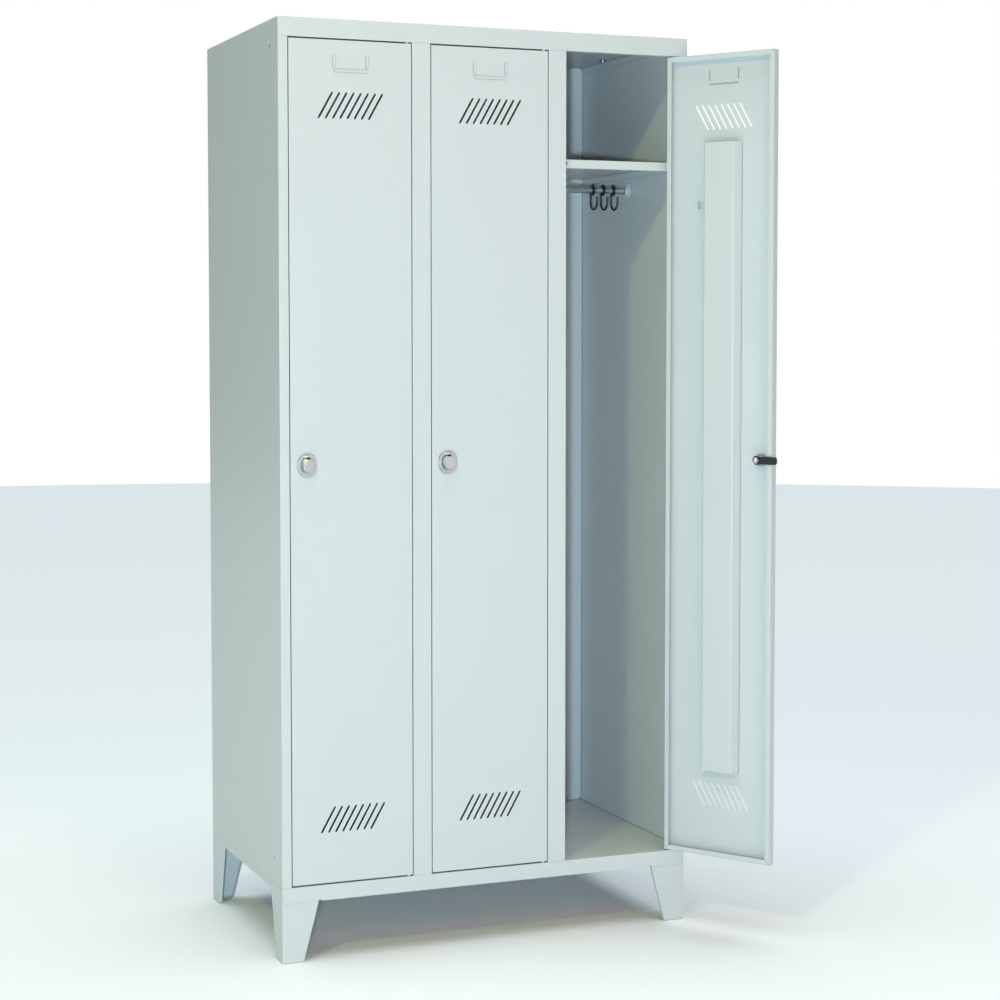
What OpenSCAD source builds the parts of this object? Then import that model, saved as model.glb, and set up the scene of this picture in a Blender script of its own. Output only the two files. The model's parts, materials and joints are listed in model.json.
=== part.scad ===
// Three-bay steel locker cabinet on four tapered legs.
// Frame: origin at the front left corner of the footprint, +X to the right,
// +Y to the back, +Z up. Millimetres.

/* [Cabinet] */
// Overall width across the side panels
cabinet_w = 900; // [780:10:1200]
// Overall depth from the door fronts to the back edge
cabinet_d = 550; // [450:10:700]
// Overall height from the floor to the top
cabinet_h = 1890; // [1500:10:2300]
// Height of the legs below the side panels
leg_h = 153; // [100:1:200]

/* [Sheet metal] */
// Thickness of the folded sheet steel
sheet_t = 1; // [0.8:0.1:1.2]
// Depth of the folded lips along the back edges
back_lip = 13; // [8:1:20]
// Height of the folded flanges that hold panels together
flange_h = 15; // [10:1:20]
// Clear space between folds that meet in a corner
fold_gap = 2; // [1:0.5:4]
// Side of the square relief cut at the corners of the back panel
corner_relief = 6; // [3:0.5:8]

/* [Front frame] */
// Width of the two outer stiles
side_stile_w = 20; // [16:1:30]
// Width of the two stiles between the doors
mid_stile_w = 40; // [36:1:60]
// Height of the rail above the doors
top_rail_h = 38; // [30:1:60]
// Height of the rail below the doors
bottom_rail_h = 32; // [28:1:45]
// Chamfer at the lower corners of the bottom rail
rail_chamfer = 5; // [2:1:8]
// Depth of the lip folded back along the lower edge of the bottom rail
rail_return = 12; // [8:1:16]
// Width of the relief notches at the ends of that lip
relief_w = 5; // [3:0.5:7]
// Height of the relief notches
relief_h = 3; // [2:0.5:5]

/* [Doors] */
// Gap between a door and the stiles
door_side_gap = 1.5; // [1.2:0.1:3]
// Gap between a door and the rails
door_end_gap = 3; // [2.5:0.5:5]
// Depth of the folded door tray
door_t = 18; // [15:0.5:20]
// Width of the lips folded in around the back of a door
door_lip = 11; // [8:1:15]
// Width of the mitre joints between those lips
mitre_gap = 0.4; // [0.2:0.1:1]
// Angle at which the right-hand door stands open
open_angle = 122; // [0:1:125]
// Distance from the hinge side of a door to its pivot axis
pivot_inset = 8; // [7:0.5:12]
// Distance from the door front to the pivot axis
pivot_y = 4.5; // [4.5:0.1:6]
// Radius of the pivot pins
pin_r = 2.5; // [2:0.1:2.5]
// Radial clearance of a pivot pin in its bush
pin_play = 0.05; // [0.02:0.01:0.1]
// Wall of a bush, where the door front leaves room for it
bush_wall = 0.95; // [0.6:0.05:1.2]
// Distance that a pin reaches past the gap between door and rail
pin_reach = 4; // [3:0.5:6]
// Clear space between a bush and the rail
bush_gap = 0.3; // [0.2:0.1:0.5]

/* [Door stiffener] */
// Width of the flat crest of the stiffener
crest_w = 71; // [50:1:90]
// Width of the stiffener at the door sheet
base_w = 89; // [70:1:110]
// Depth of the stiffener from the door sheet to its crest
stiffener_t = 19.5; // [12:0.5:20]
// Distance from the ends of the door to the ends of the stiffener
stiffener_end = 183; // [160:1:260]

/* [Ventilation slots] */
// Number of slots in a group
slot_count = 8; // [4:1:10]
// Width of a slot
slot_w = 4; // [3:0.5:6]
// Length of a slot, end to end
slot_len = 60; // [40:1:70]
// Distance from slot to slot across the door
slot_pitch = 15; // [12:0.5:18]
// Lean of the slots from upright, to the right going up
slot_tilt = 29.5; // [10:0.5:35]
// Distance from the ends of the door to the middle of a slot group
slot_end = 129; // [100:1:150]

/* [Label holder] */
// Width between the outer edges of the side tabs
label_w = 74; // [60:1:90]
// Height of the label holder
label_h = 33; // [25:1:40]
// Distance from the top of the door to the top of the side tabs
label_top = 30; // [20:1:45]
// Width of the pressed tabs
tab_w = 5; // [4:0.5:7]
// Distance that the tabs stand proud of the door
tab_proud = 1.8; // [1.6:0.1:3]
// Clear space between the bottom tab and the side tabs
tab_gap = 5; // [3:0.5:8]

/* [Turn latch] */
// Distance from the free edge of a door to the latch spindle
latch_inset = 34.5; // [32:0.5:45]
// Height of the latch spindle above the floor
latch_z = 1004; // [900:1:1100]
// Width of the latch plate
plate_w = 38; // [32:1:44]
// Height of the latch plate
plate_h = 47; // [40:1:56]
// Thickness of the latch plate
plate_t = 3; // [2:0.5:5]
// Radius of the round boss under the grip
knob_boss_r = 11; // [9:0.5:12]
// Height of that boss above the plate
knob_boss_t = 4; // [3:0.5:8]
// Width of the six-sided grip
grip_w = 23; // [20:1:28]
// Height of the grip
grip_h = 30; // [26:1:36]
// Width of the flat ends of the grip
grip_end = 10; // [6:1:14]
// Thickness of the grip
grip_t = 9; // [6:0.5:14]
// Width of the padlock staple above the grip
staple_w = 9; // [7:0.5:12]
// Height of the staple
staple_h = 4; // [3:0.5:5]
// Distance from the latch plate to the front of the staple
staple_t = 10; // [6:0.5:14]
// Clear space between the staple and the turning grip
staple_gap = 0.5; // [0.3:0.1:1]
// Radius of the threaded latch barrel
barrel_r = 9; // [8:0.5:10]
// Radius of the latch spindle
spindle_r = 4; // [3:0.5:5]
// Radial clearance of the spindle in the barrel
spindle_play = 0.06; // [0.02:0.01:0.1]
// Width of the cam
cam_w = 16; // [12:1:18]
// Distance that the cam reaches past the free edge of the door
cam_reach = 13; // [8:0.5:15]
// Thickness of the cam
cam_t = 2.5; // [2:0.5:4]
// Clear space between the back of the door tray and the cam
cam_gap = 1.2; // [0.8:0.1:2]
// Distance across the corners of the barrel nut, halved
lock_nut_r = 13.5; // [12:0.5:15]
// Thickness of the barrel nut
lock_nut_t = 4; // [3:0.5:5]
// Radius of the domed nut
cap_r = 7.5; // [7:0.5:9]

/* [Shelf and coat rail] */
// Distance from the ceiling down to the top of the hat shelf
shelf_drop = 259; // [200:1:350]
// Height of the folded front edge of the shelf
shelf_lip_h = 18; // [15:1:30]
// Distance from the door fronts to the front edge of the shelf
shelf_y = 22.5; // [21.5:0.5:40]
// Distance from the top of the shelf down to the rail axis
rod_drop = 43; // [35:1:60]
// Distance from the door fronts to the rail axis
rod_y = 290; // [200:5:320]
// Outer radius of the rail tube
rod_r = 7.5; // [6:0.5:8]
// Wall of the rail tube
rod_wall = 1.2; // [1:0.1:2]
// Distance from a hook's eye to the rail tube all round
hook_play = 0.7; // [0.4:0.1:1]
// Thickness of a hook along the rail
hook_w = 5; // [4:0.5:6]
// Distance between neighbouring hooks
hook_pitch = 25; // [15:1:30]
// Distance from the right-hand wall to the nearest hook
hook_wall_gap = 36; // [33:1:60]
// Thickness of the strip that a hook is bent from
hook_wire = 4.5; // [3.5:0.5:6]
// Inner radius of a hook's bowl
bowl_r = 15; // [12:0.5:18]
// Distance from the rail axis down to the middle of the bowl
bowl_drop = 26.5; // [24:0.5:35]
// Height of a hook's tip above the middle of the bowl
hook_tip = 13; // [6:0.5:16]
// Radius of the flange of a rail socket
socket_r = 18; // [14:0.5:22]
// Thickness of that flange
socket_t = 2; // [1.5:0.1:3]
// Length of the collar that holds the rail
collar_len = 8; // [5:0.5:12]
// Wall of that collar
collar_wall = 1.7; // [1.2:0.1:3]
// Radius of the rubber door buffers
buffer_r = 4; // [3:0.5:5]

/* [Garment hook] */
// Distance from the rail axis down to the hook on the door
garment_drop = 61; // [40:1:90]
// Distance that the hook stands off the stiffener
garment_out = 17; // [14:0.5:22]
// Height of the turned-up tongue
garment_h = 19; // [12:0.5:25]
// Width of the strip
garment_w = 12; // [10:0.5:13]
// Distance from the door front to the strip
garment_y = 7; // [4:0.5:8]
// Thickness of the strip
strip_t = 1.5; // [1:0.1:2.5]

/* [Legs] */
// Width of a leg plate at the floor
leg_foot_w = 45; // [35:1:60]
// Width of a leg plate at the cabinet
leg_top_w = 85; // [70:1:110]
// Width of the stiffening lip on the sloping edges
leg_lip = 8; // [5:1:12]
// Side of the foot plate
foot_w = 38; // [30:1:44]
// Distance that the top plate of a leg stays back from its sloping edges
leg_plate_inset = 12; // [10:1:20]

/* [Bolts] */
// Radius of the bolts in the legs and the top
bolt_r = 3; // [2.5:0.5:4]
// Radius of a leg bolt's head across its corners
bolt_head_r = 5.5; // [5:0.5:7]
// Height of a bolt's head
bolt_head_t = 4; // [2.5:0.5:5]
// Radius of the washers under the bolts in the top
washer_r = 9; // [7:0.5:11]
// Thickness of those washers
washer_t = 1.5; // [1:0.1:2]
// Distance of the bolts in the top from the right-hand wall of their bay
top_bolt_x = 18; // [14:1:40]
// Distance of the bolts in the top from the front
top_bolt_y = 385; // [300:5:420]

/* [Joining holes] */
// Radius of the holes for bolting cabinets side by side
join_r = 3.5; // [2.5:0.5:5]
// Distance of the joining holes from the front
join_y = 58; // [40:1:100]
// Distance of the joining holes from the top and bottom of the side panels
join_end = 52; // [45:1:120]

/* [Hidden] */

$fn = 48;
bays = 3;
hooks_per_bay = 3;
// Overlap of pieces in one sheet, and the fit of a fixed shank in its hole
eps = 0.01;
// Distance that a cut runs past what it cuts
past = 1;

paint = "#d8dedc";
steel_dark = "#3c3b3e";
zinc = "#b4b8bc";
rubber_black = "#1c1c1e";
nylon = "#e4e4e0";

// Heights of the frame
floor_z = leg_h + sheet_t;
ceiling_z = cabinet_h - sheet_t;
rail_top_z = cabinet_h - top_rail_h;
rail_bottom_z = floor_z - bottom_rail_h;
stile_return = door_t;
back_y = cabinet_d - flange_h;

// Openings and walls of the bays
opening_w = (cabinet_w - 2 * side_stile_w - (bays - 1) * mid_stile_w) / bays;
function opening_x(bay) = side_stile_w + bay * (opening_w + mid_stile_w);
function wall_x(i) = i == 0 ? sheet_t
    : i == bays ? cabinet_w - sheet_t
    : opening_x(i) - mid_stile_w / 2;
function bay_left(bay) = wall_x(bay) + (bay == 0 ? 0 : sheet_t / 2);
function bay_right(bay) = wall_x(bay + 1) - (bay == bays - 1 ? 0 : sheet_t / 2);

// Doors
door_w = opening_w - 2 * door_side_gap;
door_z0 = floor_z + door_end_gap;
door_z1 = rail_top_z - door_end_gap;
door_h = door_z1 - door_z0;
bush_r = min(pin_r + bush_wall, pivot_y - sheet_t - 2 * eps);
bush_tail = 2;
pin_head_t = 2;
function door_x(bay) = opening_x(bay) + door_side_gap;
function pivot_x(bay) = door_x(bay) + door_w - pivot_inset;
function swing(bay) = bay == bays - 1 ? open_angle : 0;

// Label tabs, from the lower left corner of the label holder
tab_foot = 1;
tab_inset = 2;
side_tab_z = tab_w + tab_gap;
side_tab_h = label_h - side_tab_z;

// Latch: the cam lies behind the door tray, the nut behind the cam
cam_y = door_t + cam_gap;
nut_y = cam_y + cam_t;
nut_flat_t = 5;
barrel_fit = 0.1;
barrel_end_y = door_t - 3;
cam_chamfer = 3;
cam_eye_extra = 1.5;
knob_gap = 0.2;
function latch_turn(bay) = bay == bays - 1 ? 90 : 0;

// Shelf, rail and hooks
shelf_z = ceiling_z - shelf_drop;
rod_z = shelf_z - rod_drop;
rod_fit = 0.1;
rod_end_gap = 0.5;
hook_eye_r = rod_r + hook_play;
buffer_proud = 0.5;
function hook_x(bay, i) = bay_right(bay) - hook_wall_gap
    - (hooks_per_bay - 1 - i) * hook_pitch;

// Garment hook and stiffener on the door
garment_z = rod_z - garment_drop;
stiffener_run = (base_w - crest_w) / 2;
// Half-width of the stiffener at a distance y from the door's front face
function flank_x(y) = base_w / 2 - stiffener_run * (y - sheet_t) / stiffener_t;

// Distance of a leg's sloping edge from its outer edge, at a height z
function leg_edge_x(z) = leg_foot_w + (leg_top_w - leg_foot_w) * z / leg_h;

// Strip of a flat outline along the sloping edge of a leg plate
module sloping_strip() {
    polygon([[leg_foot_w, 0], [leg_top_w, leg_h], [leg_top_w - sheet_t, leg_h], [leg_foot_w - sheet_t, 0]]);
}

// Carries out a door's own swing about its pivot
module hung(bay) {
    translate([pivot_x(bay), pivot_y, 0]) rotate([0, 0, swing(bay)])
        translate([-pivot_x(bay), -pivot_y, 0]) children();
}

// Cylinder along Y from y0 to y1
module y_cylinder(r, y0, y1) {
    translate([0, y1, 0]) rotate([90, 0, 0]) cylinder(r = r, h = y1 - y0);
}

// ---- Casing ----

module side_panel() {
    color(paint) difference() {
        union() {
            translate([0, sheet_t, leg_h])
                cube([sheet_t, cabinet_d - sheet_t, cabinet_h - leg_h]);
            translate([0, 0, floor_z]) linear_extrude(rail_top_z - floor_z) {
                square([side_stile_w, sheet_t]);
                translate([side_stile_w - sheet_t, 0]) square([sheet_t, stile_return]);
            }
            translate([0, cabinet_d - sheet_t, floor_z])
                cube([back_lip, sheet_t, ceiling_z - floor_z]);
        }
        for (z = [leg_h + join_end, cabinet_h - join_end])
            translate([-past, join_y, z]) rotate([0, 90, 0]) cylinder(r = join_r, h = sheet_t + 2 * past);
    }
}

module left_side_panel() {
    side_panel();
}

module right_side_panel() {
    translate([cabinet_w, 0, 0]) mirror([1, 0, 0]) side_panel();
}

// Flat wall between two bays, notched behind the top rail
module partition(i) {
    color(paint) translate([wall_x(i) - sheet_t / 2, 0, 0]) rotate([90, 0, 90])
        linear_extrude(sheet_t) polygon([
            [sheet_t, floor_z], [back_y, floor_z], [back_y, ceiling_z], [stile_return + fold_gap, ceiling_z],
            [stile_return + fold_gap, rail_top_z], [sheet_t, rail_top_z]]);
}

// Channel between two doors, welded to the front edge of a partition
module mid_stile(i) {
    color(paint) translate([wall_x(i) - mid_stile_w / 2, 0, floor_z])
        linear_extrude(rail_top_z - floor_z) {
            square([mid_stile_w, sheet_t]);
            for (x = [0, mid_stile_w - sheet_t])
                    translate([x, 0]) square([sheet_t, stile_return]);
        }
}

// Shallow pan with its hollow to the back and its corners relieved
module back_panel() {
    w = cabinet_w - 2 * sheet_t;
    h = ceiling_z - floor_z;
    color(paint) translate([sheet_t, back_y, floor_z]) difference() {
        cube([w, flange_h - sheet_t, h]);
        translate([sheet_t, sheet_t, sheet_t]) cube([w - 2 * sheet_t, flange_h, h - 2 * sheet_t]);
        for (x = [-past, w - corner_relief], z = [-past, h - corner_relief])
            translate([x, -past, z]) cube(corner_relief + past);
    }
}

module pivot_holes(z) {
    for (bay = [0:bays - 1])
        translate([pivot_x(bay), pivot_y, z - past]) cylinder(r = pin_r + eps, h = sheet_t + 2 * past);
}

module at_top_bolts() {
    for (bay = [0:bays - 1]) translate([bay_right(bay) - top_bolt_x, top_bolt_y, ceiling_z]) children();
}

module top_panel() {
    color(paint) difference() {
        union() {
            translate([0, 0, rail_top_z]) cube([cabinet_w, sheet_t, top_rail_h]);
            translate([sheet_t, 0, 0]) {
                translate([0, 0, rail_top_z]) cube([cabinet_w - 2 * sheet_t, stile_return, sheet_t]);
                translate([0, 0, ceiling_z]) cube([cabinet_w - 2 * sheet_t, cabinet_d, sheet_t]);
                for (x = [0, cabinet_w - 3 * sheet_t])
                    translate([x, stile_return + fold_gap, cabinet_h - flange_h])
                        cube([sheet_t, back_y - stile_return - 2 * fold_gap, flange_h]);
            }
            translate([back_lip, cabinet_d - sheet_t, rail_top_z])
                cube([cabinet_w - 2 * back_lip, sheet_t, top_rail_h]);
        }
        pivot_holes(rail_top_z);
        at_top_bolts() translate([0, 0, -past]) cylinder(r = bolt_r + eps, h = sheet_t + 2 * past);
    }
}

module bottom_panel() {
    // the folded-back lip runs between the legs
    lip_x = leg_edge_x(rail_bottom_z) + relief_w;
    color(paint) difference() {
        union() {
            translate([0, sheet_t, 0]) rotate([90, 0, 0]) linear_extrude(sheet_t) polygon([
                [rail_chamfer, rail_bottom_z], [cabinet_w - rail_chamfer, rail_bottom_z],
                [cabinet_w, rail_bottom_z + rail_chamfer], [cabinet_w, floor_z],
                [0, floor_z], [0, rail_bottom_z + rail_chamfer]]);
            translate([lip_x, 0, rail_bottom_z]) cube([cabinet_w - 2 * lip_x, rail_return, sheet_t]);
            translate([sheet_t, 0, leg_h])
                cube([cabinet_w - 2 * sheet_t, cabinet_d, sheet_t]);
            for (x = [sheet_t, cabinet_w - 2 * sheet_t])
                translate([x, leg_top_w + sheet_t + fold_gap, leg_h - flange_h])
                    cube([sheet_t, cabinet_d - 2 * (leg_top_w + sheet_t + fold_gap), flange_h + eps]);
            translate([back_lip, cabinet_d - sheet_t, rail_bottom_z])
                cube([cabinet_w - 2 * back_lip, sheet_t, bottom_rail_h]);
        }
        for (x = [lip_x - relief_w, cabinet_w - lip_x])
            translate([x, -past, rail_bottom_z - past]) cube([relief_w, sheet_t + 2 * past, relief_h + past]);
        pivot_holes(leg_h);
        at_leg_bolts() translate([0, 0, leg_h - past]) cylinder(r = bolt_r + eps, h = sheet_t + 2 * past);
    }
}

// ---- Legs ----

// A leg with its outer corner at the origin, its plates along +X and +Y
module leg() {
    outline = [[0, 0], [leg_foot_w, 0], [leg_top_w, leg_h], [0, leg_h]];
    color(paint) difference() {
        union() {
            translate([0, sheet_t, 0]) rotate([90, 0, 0]) linear_extrude(sheet_t) polygon(outline);
            rotate([90, 0, 90]) linear_extrude(sheet_t) polygon(outline);
            translate([0, leg_lip, 0]) rotate([90, 0, 0]) linear_extrude(leg_lip) sloping_strip();
            rotate([90, 0, 90]) linear_extrude(leg_lip) sloping_strip();
            linear_extrude(2 * sheet_t)
                polygon([[0, 0], [foot_w, 0], [foot_w, foot_w / 2], [foot_w / 2, foot_w], [0, foot_w]]);
            translate([0, 0, leg_h - sheet_t]) linear_extrude(sheet_t)
                polygon([[0, 0], [leg_top_w - leg_plate_inset, 0], [0, leg_top_w - leg_plate_inset]]);
        }
        for (p = leg_bolt_places)
            translate([p.x, p.y, leg_h - sheet_t - past]) cylinder(r = bolt_r + eps, h = sheet_t + 2 * past);
    }
}

leg_bolt_places = [[42, 16], [16, 42]];

// Puts a leg-like child into each of the four corners, or into one of them
module at_corner(right, back) {
    translate([right ? cabinet_w : 0, back ? cabinet_d - sheet_t : sheet_t, 0])
        mirror([right ? 1 : 0, 0, 0]) mirror([0, back ? 1 : 0, 0]) children();
}

module at_leg_bolts() {
    for (right = [false, true], back = [false, true], p = leg_bolt_places)
        at_corner(right, back) translate([p.x, p.y, 0]) children();
}

// Hexagon-headed bolt, head down, its shank rising through the leg and the floor
module leg_bolts() {
    color(zinc) at_leg_bolts() translate([0, 0, leg_h - sheet_t]) {
        translate([0, 0, -bolt_head_t]) cylinder(r = bolt_head_r, h = bolt_head_t, $fn = 6);
        cylinder(r = bolt_r, h = 2 * sheet_t);
    }
}

// Bolt and washer under the top of each bay
module top_bolts() {
    color(zinc) at_top_bolts() {
        translate([0, 0, -washer_t]) cylinder(r = washer_r, h = washer_t);
        translate([0, 0, -washer_t - bolt_head_t]) cylinder(r = bolt_head_r, h = bolt_head_t);
        cylinder(r = bolt_r, h = sheet_t);
    }
}

// ---- Shelf, rail and hooks ----

module hat_shelf(bay) {
    w = bay_right(bay) - bay_left(bay);
    depth = back_y - shelf_y;
    color(paint) translate([bay_left(bay), shelf_y, shelf_z]) {
        translate([0, 0, -sheet_t]) cube([w, depth, sheet_t]);
        translate([0, 0, -shelf_lip_h]) cube([w, sheet_t, shelf_lip_h - sheet_t + eps]);
        translate([0, 0, -shelf_lip_h]) cube([w, rail_return, sheet_t]);
        for (x = [0, w - sheet_t])
            translate([x, flange_h, -flange_h])
                cube([sheet_t, depth - 2 * flange_h, flange_h - sheet_t + eps]);
        translate([0, depth - sheet_t, -flange_h]) cube([w, sheet_t, flange_h - sheet_t + eps]);
    }
}

// Rubber stop on the shelf edge that the free side of a door closes against
module door_buffers() {
    color(rubber_black) for (bay = [0:bays - 1])
        translate([door_x(bay) + door_lip / 2, 0, shelf_z - shelf_lip_h / 2])
            y_cylinder(buffer_r, door_t + buffer_proud, shelf_y);
}

module rod_socket() {
    color(nylon) rotate([0, 90, 0]) difference() {
        union() {
            cylinder(r = socket_r, h = socket_t);
            cylinder(r = rod_r + rod_fit + collar_wall, h = collar_len);
        }
        translate([0, 0, socket_t]) cylinder(r = rod_r + rod_fit, h = collar_len);
    }
}

module rod_sockets() {
    for (bay = [0:bays - 1]) {
        translate([bay_left(bay), rod_y, rod_z]) rod_socket();
        translate([bay_right(bay), rod_y, rod_z]) mirror([1, 0, 0]) rod_socket();
    }
}

module coat_rod(bay) {
    inset = socket_t + rod_end_gap;
    length = bay_right(bay) - bay_left(bay) - 2 * inset;
    color(zinc) translate([bay_left(bay) + inset, rod_y, rod_z]) rotate([0, 90, 0])
        difference() {
            cylinder(r = rod_r, h = length);
            translate([0, 0, -past]) cylinder(r = rod_r - rod_wall, h = length + 2 * past);
        }
}

// Flat outline of a hook: eye, shank, bowl and tip, with X for the cabinet's Y
module hook_outline() {
    n = 16;
    eye_r = hook_eye_r + hook_wire;
    bowl_x = hook_eye_r - bowl_r;
    tip_y = hook_tip - bowl_drop;
    eye_sweep = 360 - acos(hook_eye_r / eye_r);
    function bowl(r, turn) = [bowl_x + r * cos(turn), -bowl_drop - r * sin(turn)];
    difference() {
        polygon(concat(
            [for (i = [0:2 * n]) eye_r * [cos(eye_sweep * i / 2 / n), sin(eye_sweep * i / 2 / n)]],
            [for (i = [0:n]) bowl(bowl_r, 180 * i / n)],
            [[bowl_x - bowl_r, tip_y], [bowl_x - bowl_r - hook_wire, tip_y]],
            [for (i = [n:-1:0]) bowl(bowl_r + hook_wire, 180 * i / n)]));
        circle(r = hook_eye_r);
    }
}

module coat_hook(bay, i) {
    color(steel_dark) translate([hook_x(bay, i) - hook_w / 2, rod_y, rod_z])
        rotate([90, 0, 90]) linear_extrude(hook_w) hook_outline();
}

// ---- Doors ----

// Slot with round ends, centred on the origin, as an outline
module slot_outline() {
    r = slot_w / 2;
    reach = slot_len / 2 - r;
    n = 6;
    polygon(concat(
        [for (i = [0:n]) [r * cos(180 * i / n), reach + r * sin(180 * i / n)]],
        [for (i = [0:n]) [-r * cos(180 * i / n), -reach - r * sin(180 * i / n)]]));
}

module vent_group() {
    for (i = [0:slot_count - 1])
        translate([(i - (slot_count - 1) / 2) * slot_pitch, 0]) rotate([0, 0, -slot_tilt]) slot_outline();
}

// Windows that the label tabs were pressed out of
module label_windows() {
    slit = tab_w - 2 * tab_foot;
    for (x = [0, label_w - tab_w]) translate([x + tab_foot, side_tab_z]) square([slit, side_tab_h]);
    translate([tab_inset + tab_foot, tab_foot]) square([label_w - 2 * (tab_inset + tab_foot), slit]);
}

// Tabs in front of the windows, joined to the door along one edge
module label_tabs() {
    for (right = [false, true]) translate([right ? label_w : 0, -tab_proud, side_tab_z])
        mirror([right ? 1 : 0, 0, 0]) {
            cube([tab_w, sheet_t, side_tab_h]);
            cube([tab_foot, tab_proud + eps, side_tab_h]);
        }
    translate([tab_inset, -tab_proud, 0]) {
        cube([label_w - 2 * tab_inset, sheet_t, tab_w]);
        cube([label_w - 2 * tab_inset, tab_proud + eps, tab_foot]);
    }
}

// Slit between two lips of a door, from its corner at the origin
module mitre_joint() {
    translate([0, door_t + past, 0]) rotate([90, 0, 0]) linear_extrude(sheet_t + past) rotate([0, 0, 45])
        translate([sheet_t * sqrt(2), -mitre_gap / 2]) square([(door_lip + past) * sqrt(2), mitre_gap]);
}

// A door in its closed place, front face at y = 0
module door_tray(bay) {
    label_x = (door_w - label_w) / 2;
    label_z = door_h - label_top - label_h;
    translate([door_x(bay), 0, door_z0]) {
        difference() {
            cube([door_w, door_t, door_h]);
            translate([sheet_t, sheet_t, sheet_t])
                cube([door_w - 2 * sheet_t, door_t - 2 * sheet_t, door_h - 2 * sheet_t]);
            translate([door_lip, sheet_t, door_lip])
                cube([door_w - 2 * door_lip, door_t, door_h - 2 * door_lip]);
            translate([0, sheet_t + past, 0]) rotate([90, 0, 0]) linear_extrude(sheet_t + 2 * past) {
                for (z = [slot_end, door_h - slot_end]) translate([door_w / 2, z]) vent_group();
                translate([label_x, label_z]) label_windows();
            }
            translate([latch_inset, 0, latch_z - door_z0])
                y_cylinder(barrel_r + barrel_fit, -past, sheet_t + past);
            for (z = [-past, door_h - sheet_t - past])
                translate([door_w - pivot_inset, pivot_y, z]) cylinder(r = bush_r, h = sheet_t + 2 * past);
            for (right = [false, true], top = [false, true])
                translate([right ? door_w : 0, 0, top ? door_h : 0])
                    mirror([right ? 1 : 0, 0, 0]) mirror([0, 0, top ? 1 : 0]) mitre_joint();
        }
        translate([label_x, 0, label_z]) label_tabs();
    }
}

module door_panel(bay) {
    color(paint) hung(bay) door_tray(bay);
}

module door_stiffener(bay) {
    top = crest_w / 2;
    base = base_w / 2;
    // a sloping wall is wider across than it is thick
    wall = sheet_t * norm([stiffener_run, stiffener_t]) / stiffener_t;
    color(paint) hung(bay)
        translate([door_x(bay) + door_w / 2, sheet_t, door_z0 + stiffener_end])
        linear_extrude(door_h - 2 * stiffener_end) polygon([
            [-base, 0], [-top, stiffener_t], [top, stiffener_t], [base, 0], [base - wall, 0],
            [top - wall, stiffener_t - sheet_t], [wall - top, stiffener_t - sheet_t], [wall - base, 0]]);
}

// Bent strip with a turned-up tongue, on the hinge side of the stiffener
module garment_hook(bay) {
    y1 = garment_y + garment_w;
    out = flank_x(y1) + garment_out;
    color(paint) hung(bay) translate([door_x(bay) + door_w / 2, 0, garment_z]) {
        linear_extrude(strip_t) polygon([[flank_x(garment_y), garment_y], [out, garment_y],
            [out, y1], [flank_x(y1), y1]]);
        translate([out - strip_t, garment_y, 0]) cube([strip_t, garment_w, garment_h]);
    }
}

// Plain bushes in the top and bottom flanges of a door
module door_bushes(bay) {
    reach = door_end_gap - bush_gap;
    length = reach + sheet_t + bush_tail;
    color(nylon) translate([pivot_x(bay), pivot_y, 0])
        for (z = [door_z0 - reach, door_z1 + reach - length]) translate([0, 0, z]) difference() {
            cylinder(r = bush_r, h = length);
            translate([0, 0, -past]) cylinder(r = pin_r + pin_play, h = length + 2 * past);
        }
}

// Pins through the rails into the bushes: flush below, headed above
module hinge_pins() {
    length = sheet_t + door_end_gap + pin_reach;
    color(zinc) for (bay = [0:bays - 1]) translate([pivot_x(bay), pivot_y, 0]) {
        translate([0, 0, leg_h]) cylinder(r = pin_r, h = length);
        translate([0, 0, rail_top_z + sheet_t - length]) cylinder(r = pin_r, h = length);
        translate([0, 0, rail_top_z + sheet_t]) cylinder(r = bush_r, h = pin_head_t);
    }
}

// ---- Turn latch ----

// Places a child on the latch axis of a door, Y along the axis
module at_latch(bay) {
    hung(bay) translate([door_x(bay) + latch_inset, 0, latch_z]) children();
}

// Oval plate outline: a square with round top and bottom
module plate_outline() {
    r = plate_w / 2;
    rise = (plate_h - plate_w) / 2;
    n = 16;
    polygon(concat(
        [for (i = [0:n]) [r * cos(180 * i / n), rise + r * sin(180 * i / n)]],
        [for (i = [0:n]) [-r * cos(180 * i / n), -rise - r * sin(180 * i / n)]]));
}

module lock_body(bay) {
    color(zinc) at_latch(bay) difference() {
        union() {
            rotate([90, 0, 0]) linear_extrude(plate_t) plate_outline();
            translate([-staple_w / 2, -plate_t - staple_t, norm([grip_end, grip_h]) / 2 + staple_gap])
                cube([staple_w, staple_t + eps, staple_h]);
            y_cylinder(barrel_r, -past, barrel_end_y);
        }
        y_cylinder(spindle_r + spindle_play, -plate_t - past, door_t);
    }
}

module lock_nut(bay) {
    color(zinc) at_latch(bay) difference() {
        translate([0, sheet_t + lock_nut_t, 0]) rotate([90, 0, 0])
            cylinder(r = lock_nut_r, h = lock_nut_t, $fn = 6);
        y_cylinder(barrel_r + 2 * eps, 0, door_t);
    }
}

// Boss, elongated six-sided grip and spindle in one casting
module turn_knob(bay) {
    base_y = -plate_t - knob_gap;
    grip_y = base_y - knob_boss_t;
    color(zinc) at_latch(bay) rotate([0, latch_turn(bay), 0]) {
        y_cylinder(knob_boss_r, grip_y, base_y);
        translate([0, grip_y + eps, 0]) rotate([90, 0, 0]) linear_extrude(grip_t)
            polygon([for (side = [-1, 1], p = [[-grip_w / 2, grip_h / 4], [-grip_w / 2, -grip_h / 4],
                [-grip_end / 2, -grip_h / 2], [grip_end / 2, -grip_h / 2]]) -side * p]);
        y_cylinder(spindle_r, base_y - past, nut_y + nut_flat_t);
    }
}

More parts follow.
